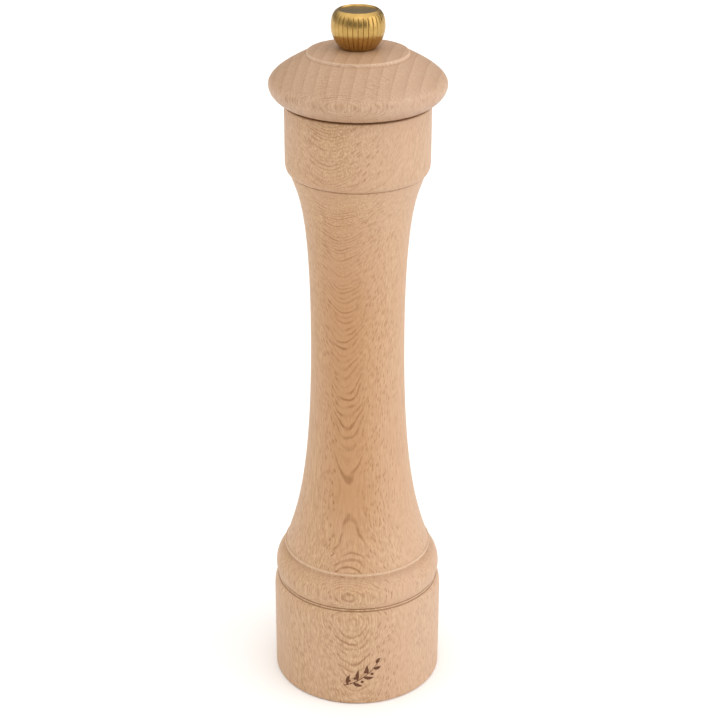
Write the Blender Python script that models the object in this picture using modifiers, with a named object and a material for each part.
"""Pepper mill: turned beech body and head, brass knob, and a steel grinding mechanism.

The origin is the centre of the foot and +Z runs up the turning axis. Sizes are in millimetres
and become metres where a mesh is made. Outlines are (radius, height) points.
"""

import math

import bmesh
import bpy
from mathutils import Matrix, Vector, geometry

MM = 0.001
GAP = 0.3  # left between pieces that touch

# Body, heights above the table. A pull is a pair of handles that shape one curved stretch.
FOOT_RADIUS = 30.5
FOOT_EDGE = 0.9
SHOULDER_START = 33.0
SHOULDER_TOP = (29.75, 38.0)
SHOULDER_PULL = ((30.3, 36.6), (FOOT_RADIUS, 35.4))
GROOVE = ((28.9, 40.0), (29.0, 39.2), (29.4, 38.7))
BEAD_RADIUS = 9.5
BEAD_CENTRE = (20.25, 43.6)
FLARE_LIP = ((26.5, 52.0), (26.4, 51.3))
WAIST_BOTTOM = (26.0, 52.6)
SKIRT_PULL = ((16.3, 77.0), (23.0, 62.5))
WAIST_RADIUS = 16.3
WAIST_HEIGHT = 135.6
NECK_PULL = ((21.1, 187.6), (WAIST_RADIUS, 184.7))
NECK_TOP = (22.5, 193.7)
COLLAR_BOTTOM = (22.6, 194.0)
COLLAR_PULL = ((24.3, 196.0), (23.8, 194.6))
COLLAR_STRAIGHT = 198.0
COLLAR_RADIUS = 24.35
RIM_EDGE = 0.5
BODY_HEIGHT = 217.5

# Hollows of the body, bottom to top
RECESS_RADIUS = 23.0
RECESS_DEPTH = 9.0
RECESS_EDGE = 0.6
SEAT_RADIUS = 15.5
SEAT_TOP = 34.0
CHAMBER_RADIUS = 11.25
SOCKET_RADIUS = 15.1
SOCKET_FLOOR = 197.0

# Head: a dome with a spigot that turns in the body's socket
HEAD_BASE = 218.0
HEAD_BASE_RADIUS = 24.3
HEAD_RADIUS = 29.4
HEAD_WIDEST = 224.2
UNDERSIDE_PULL = ((HEAD_RADIUS, 221.3), (26.6, 218.9))
DOME_PULL = ((25.9, 229.5), (HEAD_RADIUS, 226.8))
DOME_CROWN = (11.0, 235.5)
QUIRK_RADIUS = 17.0
QUIRK_HEIGHT = 233.9
QUIRK_WIDTH = 0.9
QUIRK_STEP = 0.65
KNOB_SEAT = 235.8
SEAT_PAD_RADIUS = 6.6
SPIGOT_RADIUS = 14.8
SPIGOT_END = 200.0
SPIGOT_EDGE = 0.8
SHAFT_BORE = 4.3

# Knob: the nut on the spindle
KNOB_RADIUS = 8.87
KNOB_BASE = KNOB_SEAT + GAP
KNOB_HEIGHT = 12.4
KNOB_FOOT_RADIUS = 5.9
KNOB_BELLY = 6.9  # height of the widest line above the knob's base
DISC_RADIUS = 6.2
DISC_DROP = 0.5
KNOB_BORE = 2.75
KNOB_BORE_DEPTH = 10.7

# Spindle: a square rod with rounded corners
SPINDLE_SQUARE = 5.5
SPINDLE_CORNER = 3.75
SPINDLE_BOTTOM = 7.7
SPINDLE_TOP = 245.5
THREAD_RADIUS = 2.5
THREAD_START = 229.0
CLIP_GROOVE = 0.55
BUTTON_RADIUS = 4.6
BUTTON_HEIGHT = 1.2
SQUARE_HOLE = SPINDLE_SQUARE + 2 * GAP
ROUND_HOLE = SPINDLE_CORNER + GAP

# Grinder
ROTOR_BOTTOM = 9.3
ROTOR_TOP = 22.0
ROTOR_TEETH = 9
ROTOR_TWIST = 70
STATOR_BOTTOM = RECESS_DEPTH
STATOR_TOP = 23.0
STATOR_RADIUS = 15.2
STATOR_TEETH = 18
STATOR_TWIST = -20
TOOTH_STEPS = (0.0, 0.3, 0.45, 0.85)  # where one tooth's crest and valley start and end
THROAT_HEIGHT = 15.0
THROAT_RADIUS = 9.5
MOUTH_RADIUS = 12.4
GRIND_GAP = 0.55
TOOTH_DEPTH = 0.9

# Bridge, spring and the rings on the spindle
BRIDGE_TOP = 33.7
BRIDGE_THICK = 1.1
BRIDGE_SPAN = 28.0
BRIDGE_WIDTH = 11.0
WASHER_THICK = 1.0
SPRING_RADIUS = 5.2
SPRING_WIRE = 0.5
SPRING_TURNS = 4.5
CLIP_BOTTOM = 37.0
CLIP_THICK = 0.8

# Sheet plates and their wood screws
PLATE_RADIUS = 22.3
PLATE_HOLE = 12.9
PLATE_THICK = 1.0
PLATE_SCREW_CIRCLE = 19.0
DRIVE_RADIUS = 10.5
DRIVE_THICK = 1.2
DRIVE_SCREW_CIRCLE = 8.0
SCREWS_PER_PLATE = 3
SCREW_HOLE = 1.4
SCREW_SHANK = 1.1
SCREW_HEAD = 2.3
SCREW_HEAD_HEIGHT = 1.2
SCREW_POINT = 1.8
SLOT_WIDTH = 0.6
PLATE_SCREW_LENGTH = 9.0
DRIVE_SCREW_LENGTH = 8.5
PLATE_SCREWS_START = -90
DRIVE_SCREWS_START = 90

BEECH = (0.60, 0.40, 0.25)
BRASS = (0.78, 0.60, 0.28)
STEEL = (0.55, 0.55, 0.56)


# ---- scene, materials and the shapes that repeat -------------------------------------------


def clear_scene():
    for item in list(bpy.data.objects):
        bpy.data.objects.remove(item, do_unlink=True)


def new_collection(name):
    collection = bpy.data.collections.new(name)
    bpy.context.scene.collection.children.link(collection)
    return collection


def new_material(name, colour, roughness, metallic):
    material = bpy.data.materials.new(name)
    material.use_nodes = True
    shader = material.node_tree.nodes["Principled BSDF"]
    shader.inputs["Base Color"].default_value = (*colour, 1.0)
    shader.inputs["Roughness"].default_value = roughness
    shader.inputs["Metallic"].default_value = metallic
    return material


def place(piece, collection):
    for owner in list(piece.users_collection):
        owner.objects.unlink(piece)
    collection.objects.link(piece)


def finish_piece(piece, colour, roughness, metallic, parent=None):
    piece.data.materials.clear()
    piece.data.materials.append(new_material(piece.name, colour, roughness, metallic))
    place(piece, parts)
    if parent:
        piece.parent = parent
    return piece


def arc(centre, radius, start, end, count):
    """Points of a round stretch, with angles in degrees from the +radius direction."""
    points = []
    for i in range(count + 1):
        angle = math.radians(start + (end - start) * i / count)
        points.append((centre[0] + radius * math.cos(angle), centre[1] + radius * math.sin(angle)))
    return points


def sweep(p0, p1, p2, p3, count):
    """Points of a cubic curve from p0 to p3 that leaves towards p1 and arrives from p2."""
    ends = [Vector((r, z, 0.0)) for r, z in (p0, p1, p2, p3)]
    points = geometry.interpolate_bezier(*ends, count + 1)
    return [(point.x, point.y) for point in points]


def turned(name, outline, steps, base=0.0):
    """A turned piece: the outline runs down the outer side, and back up any hole."""
    mesh = bpy.data.meshes.new(name)
    shape = bmesh.new()
    corners = [shape.verts.new((r * MM, 0.0, (z - base) * MM)) for r, z in outline]
    for lower, upper in zip(corners, corners[1:]):
        shape.edges.new((lower, upper))
    if outline[0][0] > 0.0:
        shape.edges.new((corners[-1], corners[0]))
    shape.to_mesh(mesh)
    shape.free()
    piece = bpy.data.objects.new(name, mesh)
    piece.location.z = base * MM
    bpy.context.scene.collection.objects.link(piece)
    screw = piece.modifiers.new("turn", "SCREW")
    screw.steps = steps
    screw.render_steps = steps
    screw.use_merge_vertices = True
    screw.merge_threshold = 0.00001
    screw.use_smooth_shade = True
    return piece


def ring(name, outer, inner, bottom, top, steps=32):
    outline = [(outer, top), (outer, bottom), (inner, bottom), (inner, top)]
    return turned(name, outline, steps, bottom)


def cut_guide(piece):
    piece.hide_render = True
    piece.display_type = "WIRE"
    place(piece, cutters)
    return piece


def block(name, width, depth, bottom, top, x=0.0, y=0.0):
    """A box between two heights, with its scale applied."""
    bpy.ops.mesh.primitive_cube_add(size=1.0, location=(x * MM, y * MM, (bottom + top) / 2 * MM))
    box = bpy.context.object
    box.name = name
    size = Vector((width, depth, top - bottom)) * MM
    box.data.transform(Matrix.Diagonal(size).to_4x4())
    return box


def square_guide(name, width, bottom, top):
    return cut_guide(block(name, width, width, bottom, top))


def round_guide(name, radius, x, y, bottom, top):
    bpy.ops.mesh.primitive_cylinder_add(vertices=12, radius=radius * MM, depth=(top - bottom) * MM,
                                        location=(x * MM, y * MM, (bottom + top) / 2 * MM))
    guide = bpy.context.object
    guide.name = name
    return cut_guide(guide)


def combine(piece, guide, operation="DIFFERENCE"):
    joint = piece.modifiers.new(guide.name, "BOOLEAN")
    joint.object = guide
    joint.operation = operation
    joint.solver = "EXACT"


def screw_places(circle, first):
    for i in range(SCREWS_PER_PLATE):
        angle = math.radians(first + i * 360 / SCREWS_PER_PLATE)
        yield i + 1, circle * math.cos(angle), circle * math.sin(angle)


# ---- wood ------------------------------------------------------------------------------------


def body_outline():
    """Down the outside from the rim to the foot, then up through the hollows."""
    outer = [(SOCKET_RADIUS, BODY_HEIGHT), (COLLAR_RADIUS - RIM_EDGE, BODY_HEIGHT)]
    outer += [(COLLAR_RADIUS, BODY_HEIGHT - RIM_EDGE)]
    outer += sweep((COLLAR_RADIUS, COLLAR_STRAIGHT), *COLLAR_PULL, COLLAR_BOTTOM, 4)
    waist = (WAIST_RADIUS, WAIST_HEIGHT)
    outer += sweep(NECK_TOP, *NECK_PULL, waist, 8)
    outer += sweep(waist, *SKIRT_PULL, WAIST_BOTTOM, 9)[1:]
    outer += FLARE_LIP
    outer += arc(BEAD_CENTRE, BEAD_RADIUS, 50, -20, 9)
    outer += GROOVE
    outer += sweep(SHOULDER_TOP, *SHOULDER_PULL, (FOOT_RADIUS, SHOULDER_START), 4)
    outer += arc((FOOT_RADIUS - FOOT_EDGE, FOOT_EDGE), FOOT_EDGE, 0, -90, 3)
    inner = [(RECESS_RADIUS + RECESS_EDGE, 0.0), (RECESS_RADIUS, RECESS_EDGE)]
    inner += [(RECESS_RADIUS, RECESS_DEPTH), (SEAT_RADIUS, RECESS_DEPTH), (SEAT_RADIUS, SEAT_TOP)]
    inner += [(CHAMBER_RADIUS, SEAT_TOP), (CHAMBER_RADIUS, SOCKET_FLOOR), (SOCKET_RADIUS, SOCKET_FLOOR)]
    return outer + inner


def make_body():
    body = turned("mill_body", body_outline(), 40)
    deepest = RECESS_DEPTH + PLATE_SCREW_LENGTH - 0.5
    for number, x, y in screw_places(PLATE_SCREW_CIRCLE, PLATE_SCREWS_START):
        hole = round_guide(f"body_pilot_{number}", SCREW_HOLE, x, y, RECESS_DEPTH - 1, deepest)
        combine(body, hole)
    return finish_piece(body, BEECH, 0.45, 0.0)


def head_outline():
    widest = (HEAD_RADIUS, HEAD_WIDEST)
    quirk_outer = (QUIRK_RADIUS + QUIRK_WIDTH, QUIRK_HEIGHT - 0.1)
    quirk_inner = (QUIRK_RADIUS - QUIRK_WIDTH, QUIRK_HEIGHT + QUIRK_STEP)
    outline = [(SHAFT_BORE, KNOB_SEAT), (SEAT_PAD_RADIUS, KNOB_SEAT)]
    outline += [(SEAT_PAD_RADIUS + 0.4, KNOB_SEAT + 0.1), DOME_CROWN]
    outline += [quirk_inner, (QUIRK_RADIUS, QUIRK_HEIGHT)]
    outline += sweep(quirk_outer, *DOME_PULL, widest, 7)
    outline += sweep(widest, *UNDERSIDE_PULL, (HEAD_BASE_RADIUS, HEAD_BASE), 5)[1:]
    outline += [(SPIGOT_RADIUS, HEAD_BASE), (SPIGOT_RADIUS, SPIGOT_END + SPIGOT_EDGE)]
    outline += [(SPIGOT_RADIUS - SPIGOT_EDGE, SPIGOT_END), (SHAFT_BORE, SPIGOT_END)]
    return outline


def make_head(parent):
    head = turned("head", head_outline(), 40, SPIGOT_END)
    deepest = SPIGOT_END + DRIVE_SCREW_LENGTH
    for number, x, y in screw_places(DRIVE_SCREW_CIRCLE, DRIVE_SCREWS_START):
        hole = round_guide(f"head_pilot_{number}", SCREW_HOLE, x, y, SPIGOT_END - 1, deepest)
        combine(head, hole)
    return finish_piece(head, BEECH, 0.42, 0.0, parent)


# ---- knob and spindle ------------------------------------------------------------------------


def make_knob(parent):
    top = KNOB_BASE + KNOB_HEIGHT
    disc = top - DISC_DROP
    belly = (KNOB_RADIUS, KNOB_BASE + KNOB_BELLY)
    shoulder_pull = ((8.1, top - 0.6), (KNOB_RADIUS, top - 2.6))
    foot_pull = ((KNOB_RADIUS, KNOB_BASE + 4.2), (7.5, KNOB_BASE + 1.8))
    outline = [(0.0, disc), (DISC_RADIUS, disc), (DISC_RADIUS + 0.2, top)]
    outline += sweep((DISC_RADIUS + 0.6, top), *shoulder_pull, belly, 6)
    outline += sweep(belly, *foot_pull, (KNOB_FOOT_RADIUS, KNOB_BASE), 6)[1:]
    outline += [(KNOB_BORE, KNOB_BASE), (KNOB_BORE, KNOB_BASE + KNOB_BORE_DEPTH)]
    outline += [(0.0, KNOB_BASE + KNOB_BORE_DEPTH)]
    return finish_piece(turned("knob", outline, 32, KNOB_BASE), BRASS, 0.25, 1.0, parent)


def make_spindle(parent):
    """A square rod cut by a turned envelope, with a riveted button at its lower end."""
    groove = SPINDLE_CORNER - CLIP_GROOVE
    groove_low = CLIP_BOTTOM - 0.2
    groove_high = CLIP_BOTTOM + CLIP_THICK + 0.2
    envelope = [(0.0, SPINDLE_TOP), (THREAD_RADIUS - 0.5, SPINDLE_TOP)]
    envelope += [(THREAD_RADIUS, SPINDLE_TOP - 0.5), (THREAD_RADIUS, THREAD_START)]
    envelope += [(SPINDLE_CORNER, THREAD_START - 0.8), (SPINDLE_CORNER, groove_high)]
    envelope += [(groove, groove_high), (groove, groove_low), (SPINDLE_CORNER, groove_low)]
    envelope += [(SPINDLE_CORNER, SPINDLE_BOTTOM), (0.0, SPINDLE_BOTTOM)]
    rod = turned("spindle", envelope, 32, SPINDLE_BOTTOM)
    square = square_guide("spindle_square", SPINDLE_SQUARE, SPINDLE_BOTTOM - 1, SPINDLE_TOP + 1)
    combine(rod, square, "INTERSECT")
    button_top = SPINDLE_BOTTOM + 0.1
    button_low = button_top - BUTTON_HEIGHT
    button = [(0.0, button_top), (BUTTON_RADIUS, button_top), (BUTTON_RADIUS, button_top - 0.5)]
    button += [(BUTTON_RADIUS - BUTTON_HEIGHT, button_low), (0.0, button_low)]
    combine(rod, cut_guide(turned("spindle_button", button, 24)), "UNION")
    return finish_piece(rod, STEEL, 0.3, 1.0, parent)


def make_clip(parent):
    """An open ring sprung into the groove of the spindle's corners."""
    bottom = CLIP_BOTTOM
    clip = ring("spindle_clip", 5.0, SPINDLE_CORNER - 0.25, bottom, bottom + CLIP_THICK)
    mouth = block("clip_mouth", 4.4, 4.4, bottom - 1, bottom + 2, x=SPINDLE_CORNER * 1.2)
    combine(clip, cut_guide(mouth))
    return finish_piece(clip, STEEL, 0.35, 1.0, parent)


def make_end_washer(parent):
    bottom = SPINDLE_BOTTOM + 0.1 + GAP
    washer = ring("end_washer", 5.8, ROUND_HOLE, bottom, ROTOR_BOTTOM - GAP)
    return finish_piece(washer, STEEL, 0.35, 1.0, parent)


# ---- grinder ---------------------------------------------------------------------------------


def toothed_plug(name, profile, teeth, twist):
    """A closed plug with slanting teeth. The profile holds (crest, valley, height) rows."""
    mesh = bpy.data.meshes.new(name)
    shape = bmesh.new()
    first = profile[0][2]
    length = profile[-1][2] - first
    rows = []
    for crest, valley, z in profile:
        lean = twist * (z - first) / length
        row = []
        for i in range(teeth * 4):
            radius = crest if i % 4 < 2 else valley
            angle = math.radians(lean + (i // 4 + TOOTH_STEPS[i % 4]) * 360 / teeth)
            row.append(shape.verts.new((radius * math.cos(angle) * MM, radius * math.sin(angle) * MM,
                                        z * MM)))
        rows.append(row)
    for lower, upper in zip(rows, rows[1:]):
        for i in range(len(lower)):
            j = (i + 1) % len(lower)
            shape.faces.new((lower[i], lower[j], upper[j], upper[i]))
    shape.faces.new(list(reversed(rows[0])))
    shape.faces.new(rows[-1])
    bmesh.ops.triangulate(shape, faces=shape.faces)
    shape.to_mesh(mesh)
    shape.free()
    plug = bpy.data.objects.new(name, mesh)
    bpy.context.scene.collection.objects.link(plug)
    return plug


def make_male_grinder(parent):
    throat = THROAT_RADIUS - GRIND_GAP
    mouth = MOUTH_RADIUS - GRIND_GAP
    middle = (throat + mouth) / 2
    profile = [(mouth, mouth - 0.5, ROTOR_BOTTOM), (mouth, mouth - 0.5, ROTOR_BOTTOM + 0.3)]
    profile += [(middle, middle - 0.7, (ROTOR_BOTTOM + THROAT_HEIGHT) / 2 + 0.15)]
    profile += [(throat, throat - TOOTH_DEPTH, THROAT_HEIGHT), (7.6, 6.2, 18.5)]
    profile += [(6.6, 5.4, ROTOR_TOP)]
    rotor = toothed_plug("male_grinder", profile, ROTOR_TEETH, ROTOR_TWIST)
    hole = square_guide("rotor_square", SQUARE_HOLE, ROTOR_BOTTOM - 1, ROTOR_TOP + 1)
    combine(rotor, hole)
    return finish_piece(rotor, STEEL, 0.5, 1.0, parent)


def make_female_grinder():
    stator = ring("female_grinder", STATOR_RADIUS, STATOR_RADIUS / 2, STATOR_BOTTOM, STATOR_TOP, 36)
    profile = [(MOUTH_RADIUS + 0.3, MOUTH_RADIUS, STATOR_BOTTOM - 0.6)]
    profile += [(MOUTH_RADIUS + 0.4, MOUTH_RADIUS, ROTOR_BOTTOM + 0.3)]
    profile += [(THROAT_RADIUS + TOOTH_DEPTH, THROAT_RADIUS, THROAT_HEIGHT)]
    profile += [(13.0, 12.2, STATOR_TOP + 0.4)]
    opening = cut_guide(toothed_plug("stator_opening", profile, STATOR_TEETH, STATOR_TWIST))
    combine(stator, opening)
    return finish_piece(stator, STEEL, 0.5, 1.0)


def make_bridge():
    """A strap bent to a U: a block less its inside, with a round hole for the spindle."""
    bottom = STATOR_TOP + GAP
    inside_top = BRIDGE_TOP - BRIDGE_THICK
    inside_span = BRIDGE_SPAN - 2 * BRIDGE_THICK
    bridge = block("bridge", BRIDGE_SPAN, BRIDGE_WIDTH, bottom, BRIDGE_TOP)
    inside = block("bridge_inside", inside_span, 2 * BRIDGE_WIDTH, bottom - 1, inside_top)
    combine(bridge, cut_guide(inside))
    combine(bridge, round_guide("bridge_hole", ROUND_HOLE, 0, 0, inside_top - 1, BRIDGE_TOP + 1))
    return finish_piece(bridge, STEEL, 0.35, 1.0)


# ---- spring and washer -----------------------------------------------------------------------


def spring_top():
    return BRIDGE_TOP - BRIDGE_THICK - WASHER_THICK - 2 * GAP


def make_spring_washer(parent):
    bottom = spring_top() + GAP
    washer = ring("spring_washer", 6.6, ROUND_HOLE, bottom, bottom + WASHER_THICK)
    return finish_piece(washer, STEEL, 0.35, 1.0, parent)


def make_spring(parent):
    """A coil with a closed turn at each end."""
    low = ROTOR_TOP + GAP + SPRING_WIRE
    high = spring_top() - SPRING_WIRE
    closed_pitch = 2.2 * SPRING_WIRE
    open_pitch = (high - low - 2 * closed_pitch) / (SPRING_TURNS - 2)
    per_turn = 14
    count = round(SPRING_TURNS * per_turn)
    line = bpy.data.curves.new("spring", "CURVE")
    line.dimensions = "3D"
    line.bevel_depth = SPRING_WIRE * MM
    line.bevel_resolution = 2
    line.use_fill_caps = True
    coil = line.splines.new("POLY")
    coil.points.add(count)
    for i in range(count + 1):
        turn = i / per_turn
        opened = min(max(turn - 1, 0), SPRING_TURNS - 2)
        height = low + closed_pitch * (turn - opened) + open_pitch * opened
        x = SPRING_RADIUS * math.cos(turn * math.tau)
        y = SPRING_RADIUS * math.sin(turn * math.tau)
        coil.points[i].co = (x * MM, y * MM, height * MM, 1.0)
    spring = bpy.data.objects.new("spring", line)
    bpy.context.scene.collection.objects.link(spring)
    return finish_piece(spring, STEEL, 0.3, 1.0, parent)


# ---- plates and wood screws ------------------------------------------------------------------


def make_retaining_plate():
    top = RECESS_DEPTH - GAP
    plate = ring("retaining_plate", PLATE_RADIUS, PLATE_HOLE, top - PLATE_THICK, top, 40)
    for number, x, y in screw_places(PLATE_SCREW_CIRCLE, PLATE_SCREWS_START):
        combine(plate, round_guide(f"plate_hole_{number}", SCREW_HOLE, x, y, top - 3, top + 1))
    return finish_piece(plate, STEEL, 0.3, 1.0)


def make_drive_plate(parent):
    top = SPIGOT_END - GAP
    bottom = top - DRIVE_THICK
    outline = [(0.0, top), (DRIVE_RADIUS, top), (DRIVE_RADIUS, bottom), (0.0, bottom)]
    plate = turned("drive_plate", outline, 36, bottom)
    combine(plate, square_guide("drive_square", SQUARE_HOLE, top - 3, top + 1))
    for number, x, y in screw_places(DRIVE_SCREW_CIRCLE, DRIVE_SCREWS_START):
        combine(plate, round_guide(f"drive_hole_{number}", SCREW_HOLE, x, y, top - 3, top + 1))
    return finish_piece(plate, STEEL, 0.3, 1.0, parent)


def make_screws(label, circle, first, plate_bottom, length, parent=None):
    """Pan-head wood screws driven upwards through a plate, each with a driver slot."""
    seat = plate_bottom - GAP
    tip = seat + length
    face = seat - SCREW_HEAD_HEIGHT
    outline = [(0.0, tip), (0.4, tip), (SCREW_SHANK, tip - SCREW_POINT), (SCREW_SHANK, seat)]
    outline += [(SCREW_HEAD, seat), (SCREW_HEAD, seat - 0.5), (SCREW_HEAD - 0.7, face), (0.0, face)]
    for number, x, y in screw_places(circle, first):
        name = f"{label}_{number}"
        screw = turned(name, outline, 16, seat)
        screw.location.x = x * MM
        screw.location.y = y * MM
        slot = block(name + "_slot", 3 * SCREW_HEAD, SLOT_WIDTH, face - 0.5, face + 0.5, x, y)
        slot.rotation_euler.z = math.radians(25 + 70 * number)
        combine(screw, cut_guide(slot))
        finish_piece(screw, STEEL, 0.3, 1.0, parent)


def joint_axis(name, parent=None):
    """An empty on the turning axis, from which one moving group hangs."""
    axis = bpy.data.objects.new(name, None)
    axis.empty_display_size = 0.01
    axis.parent = parent
    parts.objects.link(axis)
    return axis


clear_scene()
parts = new_collection("pepper_mill")
cutters = new_collection("cutters")
turning_axis = joint_axis("turning_axis")
head_axis = joint_axis("head_axis", turning_axis)
spindle_axis = joint_axis("spindle_axis", turning_axis)

make_body()
make_female_grinder()
make_bridge()
make_retaining_plate()
make_screws("plate_screw", PLATE_SCREW_CIRCLE, PLATE_SCREWS_START, RECESS_DEPTH - GAP - PLATE_THICK,
            PLATE_SCREW_LENGTH)

make_spring_washer(turning_axis)
make_spring(turning_axis)

make_head(head_axis)
make_drive_plate(head_axis)
make_screws("drive_screw", DRIVE_SCREW_CIRCLE, DRIVE_SCREWS_START, SPIGOT_END - GAP - DRIVE_THICK,
            DRIVE_SCREW_LENGTH, head_axis)
make_knob(head_axis)

make_spindle(spindle_axis)
make_clip(spindle_axis)
make_end_washer(spindle_axis)
make_male_grinder(spindle_axis)
